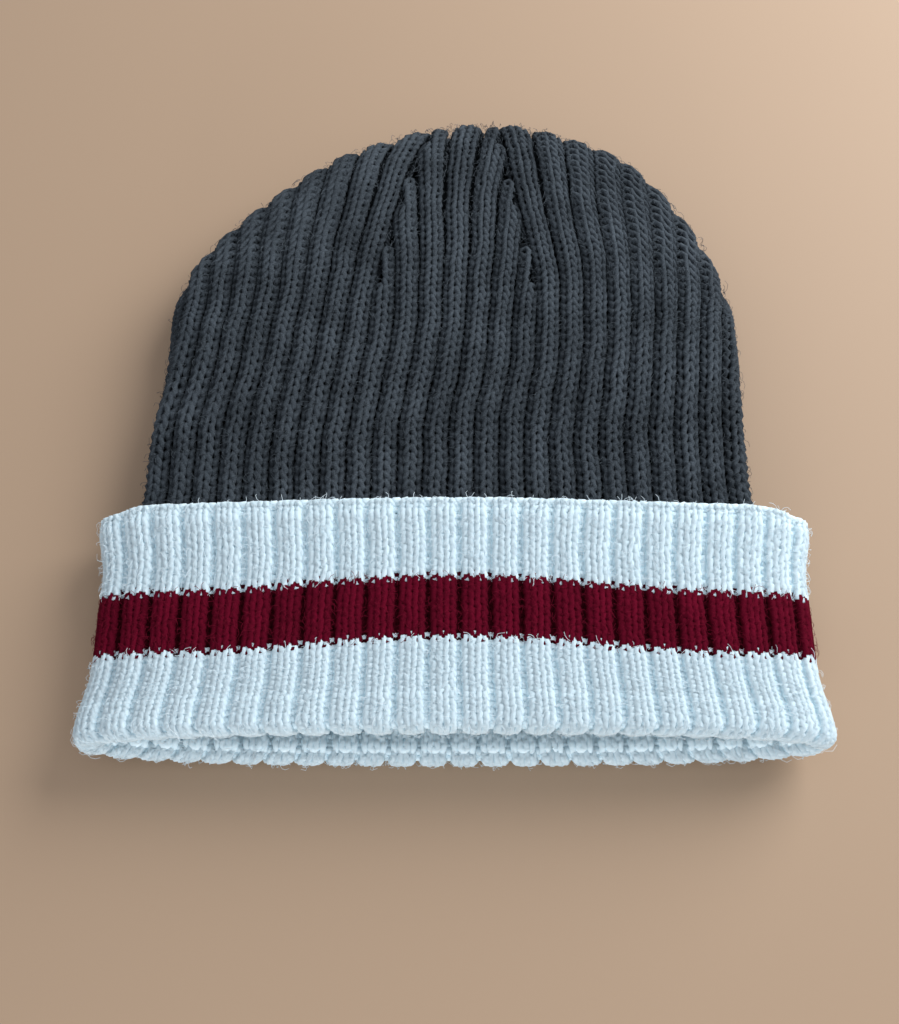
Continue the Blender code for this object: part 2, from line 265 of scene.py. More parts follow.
# Studio.
FLOOR = (0.45, 0.30, 0.195, 1)
FLOOR_ROUGHNESS = 0.7
FLOOR_REACH = 3.0
SKY = (0.86, 0.92, 1.0, 1)
SKY_STRENGTH = 0.58
KEY = dict(place=(0.66, 0.52, 0.52), target=(0, 0, 0), size=0.80, energy=12.5, colour=(0.92, 0.97, 1.0))
FILL = dict(place=(0, -0.8, 0.12), target=(0, -0.1, 0.02), size=0.20, energy=2.6, colour=(0.90, 0.96, 1.0))


def add_camera():
    camera = bpy.data.objects.new("Camera", bpy.data.cameras.new("Camera"))
    bpy.context.scene.collection.objects.link(camera)
    camera.data.lens = LENS
    camera.data.sensor_width = SENSOR
    camera.data.clip_start = CLIP_START
    camera.location = CAMERA_PLACE
    camera.rotation_euler = (CAMERA_PITCH, 0, 0)
    bpy.context.scene.camera = camera


# ---------------------------------------------------------------- surfaces


def ease(value, start, end):
    """0 before start, 1 after end, and smooth between."""
    share = np.clip((value - start) / (end - start), 0.0, 1.0)
    return share * share * (3 - 2 * share)


def blend(a, b, share):
    return a + (b - a) * share


def unit(vectors):
    return vectors / np.maximum(np.linalg.norm(vectors, axis=-1, keepdims=True), TINY)


def superellipse(half_width, half_height, power, angles):
    """Points of a rounded flat ring, from the top of its front face round by +X."""
    across = np.sin(angles)
    rise = np.maximum(1 - np.abs(across) ** power, 0) ** (1 / power)
    return half_width * across, half_height * np.sign(np.cos(angles)) * rise


def crowded_angles():
    """Angles round a ring, closer together where it folds at its sides."""
    even = np.linspace(0, 2 * math.pi, RING_SAMPLES + 1)
    return even + RING_CROWDING * np.sin(2 * even) / 2


RING_ANGLES = crowded_angles()


def cuff_ring(course, depth):
    """The cuff's ring of this course. The front fold stands a little short of the back one."""
    half_width, half_thickness = CUFF_HALF_WIDTH - cuff_waist(course) - depth, CUFF_HALF_THICKNESS - depth
    x, z = superellipse(half_width, half_thickness, TUBE_POWER, RING_ANGLES)
    front = (1 + np.cos(RING_ANGLES)) / 2
    rise = FRONT_FOLD_RISE * max(0.0, 1 - course / FOLD_RISE_FADE)
    return np.stack([x, course + rise * front - cuff_drop(course, x), z + CUFF_HALF_THICKNESS], axis=1)


def cuff_waist(course):
    """How much narrower the cuff is at this course, on each side, than at its fold."""
    kept = blend(1, WAIST_KEPT_AT_TOP, ease(course, *WAIST_END_SPAN))
    return WAIST_EVERYWHERE + WAIST * ease(course, *WAIST_START_SPAN) * kept


def cuff_drop(course, x):
    """How far this course has sunk towards the mouth, at each place across the cuff."""
    started = ease(course, *DROP_START_SPAN)
    ended = ease(course, *DROP_END_SPAN)
    side = SIDE_DROP * blend(1, DROP_KEPT_AT_TOP, ended) * ease(np.abs(x), *SIDE_DROP_SPAN)
    corner = CORNER_DROP * ended * ease(np.abs(x), *CORNER_SPAN)
    return started * (COURSE_DROP + side) + corner


def folded_ring(course, depth):
    """The cuff's ring, which turns in round the fold below FOLD_RADIUS, towards the body's band."""
    if course >= FOLD_RADIUS:
        return cuff_ring(course, depth)
    radius = FOLD_RADIUS - depth
    angle = min((FOLD_RADIUS - course) / (FOLD_RADIUS - CUFF_MIDDLE_DEPTH), math.pi)
    return cuff_ring(FOLD_RADIUS - radius * math.sin(angle), FOLD_RADIUS - radius * math.cos(angle))


def tube_size(course):
    """Half width, half thickness, height of the middle and sag of the straight part of the body."""
    narrowing = ease(course, NARROWING_START, CROWN_START)
    snug = BAND_HALF_WIDTH - cuff_waist(SNUG_AHEAD * course)
    half_width = blend(snug, CROWN_HALF_WIDTH, narrowing)
    half_width = blend(half_width, DOME_HALF_WIDTH, ease(course, CROWN_START, DOME_START))
    settling = ease(course, *SETTLING_SPAN)
    bottom = blend(CUFF_HALF_THICKNESS - BAND_HALF_THICKNESS, TABLE_CLEARANCE, settling)
    dome_top = TABLE_CLEARANCE + 2 * DOME_HALF_THICKNESS
    band_top = CUFF_HALF_THICKNESS + BAND_HALF_THICKNESS
    top = blend(band_top, dome_top, ease(course, CROWN_START, DOME_START))
    sag = DOME_SAG * ease(course, CROWN_START, DOME_START)
    return half_width, (top - bottom) / 2, (top + bottom) / 2, sag


def body_ring(course, depth):
    """The body's ring of this course: a straight tube, then a dome that closes at its pole."""
    if course <= DOME_START:
        half_width, half_thickness, height, sag = tube_size(course)
        x, z = superellipse(half_width - depth, half_thickness - depth, TUBE_POWER, RING_ANGLES)
        front = (1 + np.cos(RING_ANGLES)) / 2
        rise = FRONT_FOLD_RISE * max(0.0, 1 - course / FOLD_RISE_FADE)
        y = course - sag * (1 - (x / (half_width - depth)) ** 2) + rise * front
        ring = np.stack([x, y, z + height], axis=1)
    else:
        latitude = np.interp(course - DOME_START, FRONT_LENGTHS, LATITUDES)
        ring = dome_points(latitude, RING_ANGLES, depth)
    ring[:, 0] += TIP_SHIFT * ease(ring[:, 1], TIP_SHIFT_START, HAT_LENGTH)
    ring[:, 0] += BASE_SHIFT * ease(course, *BASE_SHIFT_SPAN) * (1 - ease(course, *BASE_RETURN_SPAN))
    return ring


def dome_points(latitude, angles, depth):
    """Points of the dome's row at this latitude, which is a quarter turn at its start and 0 at its pole.

    Each is found on a ball that stands for the dome, then placed on the flattened dome.
    The rows lean back towards a pole behind the tip, and their sides rise nearer the tip than their middles.
    """
    tilt = POLE_TILT * (1 - latitude / (math.pi / 2)) ** 2
    ball_x = math.sin(latitude) * np.sin(angles)
    ball_z = math.sin(latitude) * np.cos(angles)
    towards_tip = math.cos(latitude) * math.cos(tilt) + ball_z * math.sin(tilt)
    upward = ball_z * math.cos(tilt) - math.cos(latitude) * math.sin(tilt)
    from_axis = np.maximum(np.hypot(ball_x, upward), TINY)
    across = ball_x / from_axis
    lean = np.arctan2(from_axis, towards_tip)
    lean = lean - ROW_SMILE * across**2 * np.sin(2 * lean)

    size, reach = np.sin(lean), np.cos(lean)
    length = HAT_LENGTH - DOME_START
    pull = SHOULDER_PULL * np.sin(2 * lean) ** 2 + TIP_PULL * (1 - ease(lean, *TIP_PULL_SPAN))
    half_width = (DOME_HALF_WIDTH - depth) * size * (1 - pull)
    half_thickness = (DOME_HALF_THICKNESS - depth) * size**DOME_PROFILE
    power = blend(2.0, TUBE_POWER, size)
    rise = np.maximum(1 - np.abs(across) ** power, 0) ** (1 / power)
    side = DOME_START + (length - depth) * reach
    centre = DOME_START - DOME_SAG + (length + DOME_SAG - depth) * np.maximum(reach, 0) ** DOME_PROFILE
    y = side - (side - centre) * np.maximum(1 - across**2, 0) ** (0.5 + 0.5 * size**2)
    height = blend(TIP_HEIGHT, TABLE_CLEARANCE + DOME_HALF_THICKNESS, size)
    return np.stack([half_width * across, y, height + np.sign(upward) * half_thickness * rise], axis=-1)


def front_table():
    """Latitudes of the dome, and how far from its start each lies along the middle of the front."""
    latitudes = np.linspace(math.pi / 2, 0, LATITUDE_STEPS)
    middle = np.array([dome_points(latitude, 0.0, 0.0) for latitude in latitudes])
    lengths = np.concatenate([[0], np.cumsum(np.linalg.norm(np.diff(middle, axis=0), axis=1))])
    return lengths * DOME_COURSES / lengths[-1], latitudes


FRONT_LENGTHS, LATITUDES = front_table()


def body_turn(course):
    """How far round the body's knit has turned at this course, as a share of the ring."""
    crown = CROWN_TURN * ease(course, *CROWN_TURN_SPAN) + POLE_TURN * ease(course, *POLE_TURN_SPAN)
    return crown + BAND_RIB_PHASE / RIBS * (1 - ease(course, 0, BAND_PHASE_END))


def cuff_turn(_course):
    return CUFF_RIB_PHASE / RIBS


def make_surface(ring_at, turn_at, first, last, depth):
    """The middle of a knit between two courses, as a grid of points and outward normals."""
    courses = np.linspace(first, last, max(3, round((last - first) / GRID_STEP)))
    rows = []
    for course in courses:
        ring = ring_at(course, depth)
        steps = np.linalg.norm(np.diff(ring, axis=0), axis=1)
        along = np.concatenate([[0], np.cumsum(steps)]) / steps.sum()
        turns = np.mod(np.arange(GRID_TURNS) / GRID_TURNS + turn_at(course), 1.0)
        rows.append(np.stack([np.interp(turns, along, ring[:, axis]) for axis in range(3)], axis=1))
    points = np.array(rows)
    points[:, :, 1] -= HAT_LENGTH / 2
    round_way = np.roll(points, -1, axis=1) - np.roll(points, 1, axis=1)
    up_way = np.gradient(points, axis=0)
    normals = unit(np.cross(round_way, up_way))
    return {"first": first, "last": last, "points": points, "normals": normals}


def on_surface(surface, courses, turns, lifts):
    """Points of a surface, and the normals there, at these courses, turns and lifts."""
    count = len(surface["points"])
    row = (courses - surface["first"]) / (surface["last"] - surface["first"]) * (count - 1)
    row = np.clip(row, 0, count - 1)
    column = np.mod(turns, 1.0) * GRID_TURNS
    low, left = np.minimum(row.astype(int), count - 2), column.astype(int) % GRID_TURNS
    right = (left + 1) % GRID_TURNS
    up_share, right_share = (row - low)[:, None], (column - np.floor(column))[:, None]

    def read(grid):
        lower = blend(grid[low, left], grid[low, right], right_share)
        upper = blend(grid[low + 1, left], grid[low + 1, right], right_share)
        return blend(lower, upper, up_share)

    normals = unit(read(surface["normals"]))
    return read(surface["points"]) + normals * lifts[:, None], normals


# ---------------------------------------------------------------- yarn


def tube(path, normals, radius, lifts=0.0):
    """A round yarn along a path: points, quads, their yarn coordinates and the points' lifts."""
    ahead = unit(np.gradient(path, axis=0))
    sideways = unit(np.cross(ahead, normals))
    outward = np.cross(sideways, ahead)
    angles = 2 * math.pi * np.arange(YARN_SIDES) / YARN_SIDES
    radii = np.broadcast_to(radius, len(path))[:, None, None]
    cosines, sines = np.cos(angles)[None, :, None], np.sin(angles)[None, :, None]
    points = path[:, None] + radii * (cosines * sideways[:, None] + sines * outward[:, None])

    ring = np.arange(len(path) - 1)[:, None] * YARN_SIDES
    side = np.arange(YARN_SIDES)[None, :]
    after = (side + 1) % YARN_SIDES
    next_ring = ring + YARN_SIDES
    quads = np.stack([ring + side, next_ring + side, next_ring + after, ring + after], axis=-1)
    lengths = np.concatenate([[0], np.cumsum(np.linalg.norm(np.diff(path, axis=0), axis=1))])
    near = np.broadcast_to(lengths[:-1, None], quads.shape[:2])
    far = np.broadcast_to(lengths[1:, None], quads.shape[:2])
    start = np.broadcast_to(side / YARN_SIDES, quads.shape[:2])
    end = start + 1 / YARN_SIDES
    corners = ((near, start), (far, start), (far, end), (near, end))
    marks = np.stack([np.stack(corner, axis=-1) for corner in corners], axis=2)

    last = (len(path) - 1) * YARN_SIDES
    first_cap = np.array([[0, 1, 2, 3], [3, 4, 5, 0]])
    last_cap = last + np.array([[3, 2, 1, 0], [0, 5, 4, 3]])
    quads = np.concatenate([quads.reshape(-1, 4), first_cap, last_cap])
    marks = np.concatenate([marks.reshape(-1, 4, 2), np.zeros((4, 4, 2))])
    heights = np.broadcast_to(np.reshape(lifts, (-1, 1)), (len(path), YARN_SIDES)).ravel()
    return points.reshape(-1, 3), quads, marks, heights


def strand(path, normals):
    """A thin three-sided fibre along a path: points, quads, their yarn coordinates and lifts."""
    sideways = unit(np.cross(np.gradient(path, axis=0), normals))
    half, ridge = FIBRE_RADIUS * sideways, FIBRE_RIDGE * normals
    points = np.stack([path - half, path + half, path + ridge], axis=1)
    ring = np.arange(len(path) - 1)[:, None] * 3
    side = np.arange(3)[None, :]
    after = (side + 1) % 3
    quads = np.stack([ring + side, ring + after, ring + 3 + after, ring + 3 + side], axis=-1).reshape(-1, 4)
    return points.reshape(-1, 3), quads, np.zeros((len(quads), 4, 2)), np.full(3 * len(path), FIBRE_HEIGHT)


def add_piece(name, yarns, material, body):
    """One mesh object of these yarns, which rides on a body."""
    count = 0
    shifted = []
    for points, quads, _, _ in yarns:
        shifted.append(quads + count)
        count += len(points)
    points = np.concatenate([yarn[0] for yarn in yarns])
    quads = np.concatenate(shifted)
    marks = np.concatenate([yarn[2] for yarn in yarns])
    mesh = bpy.data.meshes.new(name)
    mesh.vertices.add(len(points))
    mesh.vertices.foreach_set("co", points.ravel().astype(np.float32))
    mesh.loops.add(quads.size)
    mesh.loops.foreach_set("vertex_index", quads.ravel().astype(np.int32))
    mesh.polygons.add(len(quads))
    mesh.polygons.foreach_set("loop_start", (np.arange(len(quads)) * 4).astype(np.int32))
    mesh.polygons.foreach_set("use_smooth", np.ones(len(quads), bool))
    layer = mesh.uv_layers.new(name="yarn")
    layer.data.foreach_set("uv", marks.ravel().astype(np.float32))
    # The lift of each point, which the yarn materials read to paint shade and light on yarn deep in the
    # channels.
    heights = mesh.attributes.new("height", "FLOAT", "POINT")
    heights.data.foreach_set("value", np.concatenate([yarn[3] for yarn in yarns]).astype(np.float32))
    mesh.update()
    mesh.materials.append(material)
    obj = bpy.data.objects.new(name, mesh)
    bpy.context.scene.collection.objects.link(obj)
    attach(obj, body)
    return obj


def rib_wales(ribs, spread):
    """Middle, side and middle of the pair of each column of stitches, in ribs from a channel."""
    middles, sides, pairs = [], [], []
    for rib in range(ribs):
        middles += [rib + spread, rib + 0.5 - spread, rib + 0.5 + spread, rib + 1 - spread]
        sides += [-1, 1, 1, -1]
        pairs += [rib, rib + 0.5, rib + 0.5, rib + 1]
    return np.array(middles), np.array(sides), np.array(pairs)


def wander(turns, courses):
    """How far the ribs wander sideways here, in ribs. The tighter cuff wanders less than the crown."""
    total = 0.0
    for length, waves, amount, start in WANDERS:
        total = total + amount * np.sin(2 * math.pi * (courses / length + waves * turns) + start)
    return total * blend(CUFF_WANDER, 1.0, ease(courses, CUFF_TOP, CROWN_START))


def stitch_row(surface, course, row_height, first_turn, rib_turn, wales, stitch, yarn, random, dips=None):
    """One row of stitches: the yarn's path goes through each column's loop in turn."""
    middles, sides, pairs = wales
    phase = -math.pi + (np.arange(STITCH_SAMPLES) + 0.5) * 2 * math.pi / STITCH_SAMPLES
    jitter = random.normal(0, STITCH_JITTER, (4, len(middles), 1))
    width = 2 * stitch["spread"]
    lean = stitch["lean"] * (1 + LEAN_JITTER * jitter[0])
    loop = width * (phase / (2 * math.pi) + lean * np.sin(2 * phase))
    across = middles[:, None] + loop + ACROSS_JITTER * jitter[1]
    rise = stitch["rise"] * (1 + jitter[2])
    courses = course + row_height * (stitch["way"] * rise * np.cos(phase) + jitter[3])
    off_pair = np.abs(across - pairs[:, None]) / width
    lifts = stitch["lift"] - stitch["bulge"] * np.cos(2 * phase) - stitch["round"] * off_pair**ROUND_POWER
    lifts = sides[:, None] * lifts
    across, courses, lifts = across.ravel(), courses.ravel(), lifts.ravel()
    if dips is not None:
        lifts = lifts - dips(across)
    turns = first_turn + across * rib_turn
    turns = turns + wander(turns, courses) / RIBS
    path, normals = on_surface(surface, courses, turns, lifts)
    radius = yarn * (1 + random.normal(0, STITCH_JITTER))
    return tube(path, normals, radius, lifts)


def ring_rows(surface, row_courses, row_height, stitch, yarn, random):
    """Rows right round the hat, from the back seam to the back seam."""
    wales = rib_wales(RIBS, stitch["spread"])
    yarns = []
    for course in row_courses:
        yarns.append(
            stitch_row(surface, course, row_height, BACK_SEAM_TURN, 1 / RIBS, wales, stitch, yarn, random)
        )
    return yarns


def row_middles(first, last, count):
    """The middles of this many rows between two courses."""
    return first + (np.arange(count) + 0.5) * (last - first) / count


def fuzz(surface, span, stand, count, random):
    """Loose fibres that stand out of the yarn between two courses."""
    courses = random.uniform(span[0], span[1], count)
    turns = random.uniform(0, 1, count)
    lengths = random.uniform(*FIBRE_LENGTHS, count)
    headings = random.uniform(0, 2 * math.pi, count)
    bends = random.normal(0, FIBRE_BEND, count)
    face = (1 - np.cos(2 * math.pi * RIBS * (turns - BACK_SEAM_TURN))) / 2
    roots = random.uniform(*FIBRE_ROOTS, count) * stand * blend(CHANNEL_STAND, 1.0, face)
    yarns = []
    shares = np.linspace(0, 1, FIBRE_POINTS)
    rim = np.linalg.norm(np.diff(surface["points"][len(surface["points"]) // 2], axis=0), axis=1).sum()
    for fibre in range(count):
        heading = headings[fibre] + bends[fibre] * shares
        reach = lengths[fibre] * shares
        lifts = roots[fibre] + FIBRE_RISE * lengths[fibre] * np.sin(FIBRE_ARCH * shares)
        along = courses[fibre] + reach * np.cos(heading)
        round_way = turns[fibre] + reach * np.sin(heading) / rim
        path, normals = on_surface(surface, along, round_way, lifts)
        yarns.append(strand(path, normals))
    return yarns


# ---------------------------------------------------------------- cuff


def add_cuff(looks):
    random = np.random.default_rng(SEED)
    white = looks["white"]
    fold_end = FOLD_RADIUS - math.pi * (FOLD_RADIUS - CUFF_MIDDLE_DEPTH)
    surface = make_surface(folded_ring, cuff_turn, fold_end, CUFF_TOP + SURFACE_MARGIN, CUFF_MIDDLE_DEPTH)
    split = RED_BOTTOM - LOWER_ROWS * CUFF_ROW
    edge = CUFF_TOP - EDGE_HEIGHT
    bands = (
        ("cuff_upper_white_knit", RED_TOP, edge, UPPER_ROWS, "white", "cuff_upper_white_band"),
        ("cuff_red_knit", RED_BOTTOM, RED_TOP, RED_ROWS, "red", "cuff_red_stripe"),
        ("cuff_lower_white_knit", split, RED_BOTTOM, LOWER_ROWS, "white", "cuff_lower_white_band"),
        ("cuff_fold_knit", fold_end, split, FOLD_ROWS, "white", "cuff_lower_white_band"),
    )
    for name, first, last, count, dye, node in bands:
        height = (last - first) / count
        rows = ring_rows(surface, row_middles(first, last, count), height, CUFF_STITCH, CUFF_YARN, random)
        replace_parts(add_piece(name, rows, looks[dye], "cuff"), node)
    add_cuff_edge(surface, white, random)
    add_cuff_fuzz(surface, fold_end, looks, random)
    seam = seam_cord(surface, BACK_SEAM_TURN, CUFF_ROW, CUFF_SEAM_LIFT, FOLD_RADIUS, edge)
    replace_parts(add_piece("cuff_seam_yarn", seam, white, "cuff"), "cuff_back_seam")


def add_cuff_edge(surface, white, random):
    """The edge where the knitting was begun: a last row and the bead of yarn that it hangs from."""
    height = EDGE_HEIGHT / 2
    last_row, bead = CUFF_TOP - 1.5 * height, CUFF_TOP - EDGE_BEAD_PLACE * height
    rows = ring_rows(surface, [last_row], height, EDGE_STITCH, CUFF_YARN, random)
    rows += ring_rows(surface, [bead], height, EDGE_BEAD_STITCH, CUFF_YARN, random)
    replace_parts(add_piece("cuff_edge_knit", rows, white, "cuff"), "cuff_tubular_edge")


def add_cuff_fuzz(surface, fold_end, looks, random):
    lower, upper, middle = (fold_end, RED_BOTTOM), (RED_TOP, CUFF_TOP), (RED_BOTTOM, RED_TOP)
    stretches = (
        ("cuff_white_fuzz_1", lower, WHITE_FIBRES, "white", "cuff_lower_white_band"),
        ("cuff_white_fuzz_2", upper, WHITE_FIBRES, "white", "cuff_upper_white_band"),
        ("cuff_red_fuzz", middle, RED_FIBRES, "red", "cuff_red_stripe"),
    )
    for name, span, count, dye, node in stretches:
        fibres = fuzz(surface, span, CUFF_STAND, count, random)
        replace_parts(add_piece(name, fibres, looks[f"{dye}_fibre"], "cuff"), node)


def seam_cord(surface, turn, pitch, lift, first, last):
    """Two strands twisted round each other along a seam."""
    length = last - first
    steps = round(STITCH_SAMPLES * length / pitch)
    courses = np.linspace(first, last, steps)
    angles = 2 * math.pi * (courses - first) / pitch
    yarns = []
    for start in (0, math.pi):
        turns = turn + SEAM_TWIST_TURN * np.cos(angles + start)
        lifts = lift + SEAM_TWIST * np.sin(angles + start)
        path, normals = on_surface(surface, courses, turns, lifts)
        yarns.append(tube(path, normals, SEAM_YARN))
    return yarns


# ---------------------------------------------------------------- body


def front_height(course):
    """Where the middle of the front is at this course."""
    return course - tube_size(course)[3]


def wall_rows():
    """The courses of the wall's rows, spaced evenly down the middle of the front."""
    courses = np.linspace(WHITE_TURN_IN, DOME_START, WALL_STEPS)
    heights = np.array([front_height(course) for course in courses])
    count = round((heights[-1] - heights[0]) / CROWN_ROW)
    wanted = heights[0] + np.arange(count + 1) * (heights[-1] - heights[0]) / count
    edges = np.interp(wanted, heights, courses)
    return (edges[1:] + edges[:-1]) / 2, np.diff(edges)


def add_body(looks):
    random = np.random.default_rng(SEED + 1)
    grey = looks["grey"]
    last_course = DOME_START + DOME_COURSES - POLE_MARGIN
    surface = make_surface(body_ring, body_turn, FOLD_RADIUS, last_course, BODY_MIDDLE_DEPTH)
    add_inner_band(surface, looks["white"], random)
    add_wall(surface, grey, random)
    add_crown_fuzz(surface, looks["grey_fibre"], random)
    seam = seam_cord(surface, BACK_SEAM_TURN, CROWN_ROW, 0.0, WHITE_TURN_IN, DOME_START)
    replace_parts(add_piece("crown_seam_yarn", seam, grey, "crown"), "crown_back_seam")
    for index, title in enumerate(GORES):
        add_gore(surface, index, title, grey, random)
        add_dart_seam(surface, index, grey)
    add_gather(surface, grey)


def add_inner_band(surface, white, random):
    """The white rows inside the mouth, beyond the fold."""
    height = (WHITE_TURN_IN - FOLD_RADIUS) / INNER_ROWS
    rows = row_middles(FOLD_RADIUS, WHITE_TURN_IN, INNER_ROWS)
    band = ring_rows(surface, rows, height, BAND_STITCH, CUFF_YARN, random)
    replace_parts(add_piece("inner_band_knit", band, white, "crown"), "inner_white_band")


def add_wall(surface, grey, random):
    courses, heights = wall_rows()
    for part, rows in enumerate(np.array_split(np.arange(len(courses)), WALL_PIECES)):
        yarns = []
        for row in rows:
            stitch = crown_stitch(courses[row])
            yarns += ring_rows(surface, [courses[row]], heights[row], stitch, CROWN_YARN, random)
        wall = add_piece(f"crown_wall_knit_{part + 1}", yarns, grey, "crown")
        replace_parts(wall, "crown_side_wall")


def add_crown_fuzz(surface, grey_fibre, random):
    fibres = fuzz(surface, (WALL_FUZZ_START, DOME_START), CROWN_STAND, GREY_FIBRES, random)
    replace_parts(add_piece("crown_wall_fuzz", fibres, grey_fibre, "crown"), "crown_side_wall")
    fibres = fuzz(surface, (DOME_START, TIP_COURSE), CROWN_STAND, GREY_FIBRES, random)
    piece = add_piece("crown_gore_fuzz", fibres, grey_fibre, "crown")
    for title in GORES:
        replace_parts(piece, f"crown_gore_{title}")


def crown_stitch(course):
    """The crown's stitch: flat where the cuff presses on it, and drawn out towards the pole."""
    shown, drawn = ease(course, *HIDDEN_SPAN), ease(course, *TOP_SPAN)
    stitch = {name: blend(HIDDEN_STITCH[name], CROWN_STITCH[name], shown) for name in CROWN_STITCH}
    return {name: blend(stitch[name], TOP_STITCH[name], drawn) for name in CROWN_STITCH}


def gore_edges(index):
    """Where round the ring a gore starts and ends, in turns."""
    edges = (FIRST_DART_RIB + np.cumsum([0, *GORE_RIBS])) / RIBS
    return edges[index], edges[index + 1]


def ribs_left(course):
    """The share of a gore's ribs that are left at this course. The darts begin to take them softly."""
    past = (course - DART_START) / (DOME_START + DOME_COURSES - DART_START)
    started = np.clip((past + DART_SOFTNESS) / (2 * DART_SOFTNESS), 0, 1)
    return 1 - max(past, DART_SOFTNESS * started**2)


def long_side(index):
    """Which side of a gore keeps its columns: 0 its first, 1 its last, 0.5 neither.

    Columns end at the dart that is farther round from the middle of the front.
    """
    back = len(GORES) // 2
    return 0.5 if index in (0, back) else float(index > back)


def crease(first, last, kept_side, course):
    """How far the knit sinks between a gore's two sides: deepest in the crease of each dart."""
    depth = DART_DIP * ease(course, DOME_START, DART_START + DIP_START_LENGTH)
    first_share = blend(KEPT_SIDE_DIP, 1, kept_side)
    last_share = blend(1, KEPT_SIDE_DIP, kept_side)

    def dips(across):
        first_side = np.exp(-np.maximum(across - first, 0) / (DART_DIP_WIDTH * first_share))
        last_side = np.exp(-np.maximum(last - across, 0) / (DART_DIP_WIDTH * last_share))
        return depth * (first_side * first_share + last_side * last_share)

    return dips


def add_gore(surface, index, title, grey, random):
    """One gore. Its columns end one by one at one of its darts, or at both for the front and the back."""
    kept_side = long_side(index)
    width = GORE_RIBS[index]
    first_edge, last_edge = gore_edges(index)
    count = round((TIP_COURSE - DOME_START) / CROWN_ROW)
    height = (TIP_COURSE - DOME_START) / count
    yarns = []
    for course in row_middles(DOME_START, TIP_COURSE, count):
        ribs = width * ribs_left(course)
        stitch = crown_stitch(course)
        middles, sides, pairs = rib_wales(width, stitch["spread"])
        first, last = kept_side * (width - ribs), width - (1 - kept_side) * (width - ribs)
        margin = COLUMN_MARGIN * stitch["spread"]
        kept = (middles > first + margin * (first > 0)) & (middles < last - margin * (last < width))
        if not kept.any():
            continue
        wales = (middles[kept], sides[kept], pairs[kept])
        rib_turn = (last_edge - first_edge) / ribs
        start = first_edge - first * rib_turn
        dips = crease(first, last, kept_side, course)
        yarns.append(
            stitch_row(surface, course, height, start, rib_turn, wales, stitch, CROWN_YARN, random, dips)
        )
    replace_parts(add_piece(f"gore_knit_{title}", yarns, grey, "crown"), f"crown_gore_{title}")


def add_dart_seam(surface, index, grey):
    """The linked seam at the bottom of a dart's crease."""
    _, turn = gore_edges(index)
    seam = seam_cord(surface, turn, CROWN_ROW, DART_SEAM_LIFT, DOME_START + JOINT_GAP, TIP_COURSE)
    piece = add_piece(f"dart_seam_yarn_{index + 1}", seam, grey, "crown")
    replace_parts(piece, f"dart_seam_{index + 1}")


def add_gather(surface, grey):
    """The last loops, drawn together at the pole."""
    yarns = []
    shares = np.linspace(0, 1, GATHER_SAMPLES)
    arch = np.sin(math.pi * shares)
    courses = TIP_COURSE - GATHER_OVERLAP + GATHER_LENGTH * shares
    lifts = GATHER_RISE * arch - GATHER_SINK * shares
    radii = CROWN_YARN * blend(1.0, GATHER_TAPER, shares)
    for loop in range(GATHER_LOOPS):
        turns = loop / GATHER_LOOPS + GATHER_SWAY * arch
        path, normals = on_surface(surface, courses, turns, lifts)
        yarns.append(tube(path, normals, radii))
    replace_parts(add_piece("tip_gather_yarn", yarns, grey, "crown"), "tip_gather")


# ---------------------------------------------------------------- materials


def yarn_material(name, dye):
    """Fuzzy spun yarn: twisted plies and fine fibres along it, and a slightly uneven dye."""
    material = bpy.data.materials.new(name)
    material.use_nodes = True
    tree = material.node_tree
    shader = tree.nodes["Principled BSDF"]
    shader.inputs["Base Color"].default_value = dye["colour"]
    shader.inputs["Roughness"].default_value = YARN_ROUGHNESS
    shader.inputs["Specular IOR Level"].default_value = YARN_SPECULAR
    shader.inputs["Sheen Weight"].default_value = YARN_SHEEN
    shader.inputs["Sheen Roughness"].default_value = YARN_SHEEN_ROUGHNESS
    shader.inputs["Sheen Tint"].default_value = dye["colour"]
    shader.inputs["Subsurface Weight"].default_value = dye["glow"]
    shader.inputs["Subsurface Radius"].default_value = GLOW_RADIUS
    shader.inputs["Subsurface Scale"].default_value = GLOW_SCALE

    place = tree.nodes.new("ShaderNodeTexCoord")
    fibres = noise(tree, place, FIBRE_NOISE_SCALE, FIBRE_NOISE_DETAIL)
    patches = noise(tree, place, PATCH_NOISE_SCALE, PATCH_NOISE_DETAIL)
    relief = mix(tree, plies(tree), fibres, FIBRE_SHARE_OF_RELIEF)
    bump = tree.nodes.new("ShaderNodeBump")
    bump.inputs["Strength"].default_value = dye["relief"]
    bump.inputs["Distance"].default_value = RELIEF_DISTANCE
    tree.links.new(relief, bump.inputs["Height"])
    tree.links.new(bump.outputs["Normal"], shader.inputs["Normal"])

    shade = mix(tree, fibres, patches, PATCH_SHARE_OF_SHADE)
    dyed = uneven_colour(tree, shade, dye["colour"], dye["unevenness"])
    # Painted shade on the red and grey yarn deep in the channels between ribs, painted light on the white.
    tree.links.new(with_painted_channel_shade_and_light(tree, dyed, dye["painted_channel_shade_and_light"]), shader.inputs["Base Color"])
    return material


def noise(tree, place, scale, detail):
    texture = tree.nodes.new("ShaderNodeTexNoise")
    texture.inputs["Scale"].default_value = scale
    texture.inputs["Detail"].default_value = detail
    tree.links.new(place.outputs["Object"], texture.inputs["Vector"])
    return texture.outputs["Fac"]


def mix(tree, a, b, share):
    node = tree.nodes.new("ShaderNodeMix")
    node.inputs["Factor"].default_value = share
    tree.links.new(a, node.inputs["A"])
    tree.links.new(b, node.inputs["B"])
    return node.outputs["Result"]


